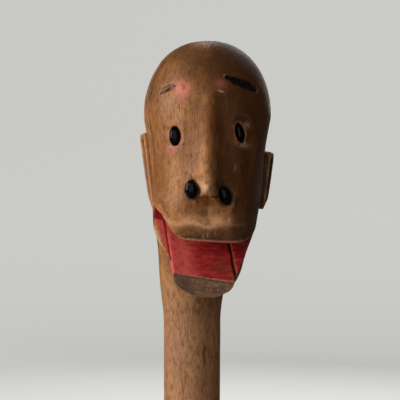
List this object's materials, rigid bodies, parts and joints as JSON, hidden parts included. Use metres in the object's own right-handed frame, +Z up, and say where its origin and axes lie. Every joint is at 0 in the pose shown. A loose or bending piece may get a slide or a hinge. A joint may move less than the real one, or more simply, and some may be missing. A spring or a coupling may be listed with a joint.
{
  "type": "stick puppet",
  "caption": "Carved wooden stick puppet: a bald head on a round stick, with a hinged jaw that a pull wire down the stick's back closes.",
  "frame": {"origin": "centre of the stick's flat lower end", "axes": "+Z up along the stick to the crown, -Y towards the mouth's opening, +X to the puppet's left hand side"},
  "size_m": [0.0574, 0.0859, 0.3996],
  "materials": {
    "wood": "hand-carved hardwood, waxed, worn",
    "red_paint": "old red paint on wood, worn",
    "black_glass": "glossy black",
    "steel": "dull steel wire",
    "brass": "tarnished brass",
    "dowel_wood": "plain beech dowel"
  },
  "bodies": {
    "stick": {"stick": "wood", "face": "wood", "hinge_pin": "steel", "return_spring": "steel", "wire_staples": "steel", "face_dowels": "dowel_wood", "ear_left": "wood", "ear_right": "wood", "ear_pegs": "dowel_wood", "eye_left": "black_glass", "eye_right": "black_glass", "nostril_left": "black_glass", "nostril_right": "black_glass"},
    "jaw": {"jaw": "red_paint", "lever": "brass", "lever_rivet": "brass"},
    "pull": {"pull_wire": "steel", "wire_collar": "brass"}
  },
  "joints": [
    {"name": "jaw_hinge", "type": "hinge", "parent": "stick", "child": "jaw", "pos_m": [0, -0.02069, 0.32111], "axis": [-1, 0, 0], "range_deg": [0, 24]},
    {"name": "pull_slide", "type": "slide", "parent": "stick", "child": "pull", "axis": [0, 0, -1], "range_m": [0, 0.01289], "stiffness_N_per_m": 150, "springref_m": -0.002, "deforming": ["return_spring"]}
  ],
  "couplings": [
    {"joint": "pull_slide", "follows": "jaw_hinge", "m_per_rad": 0.03074}
  ]
}
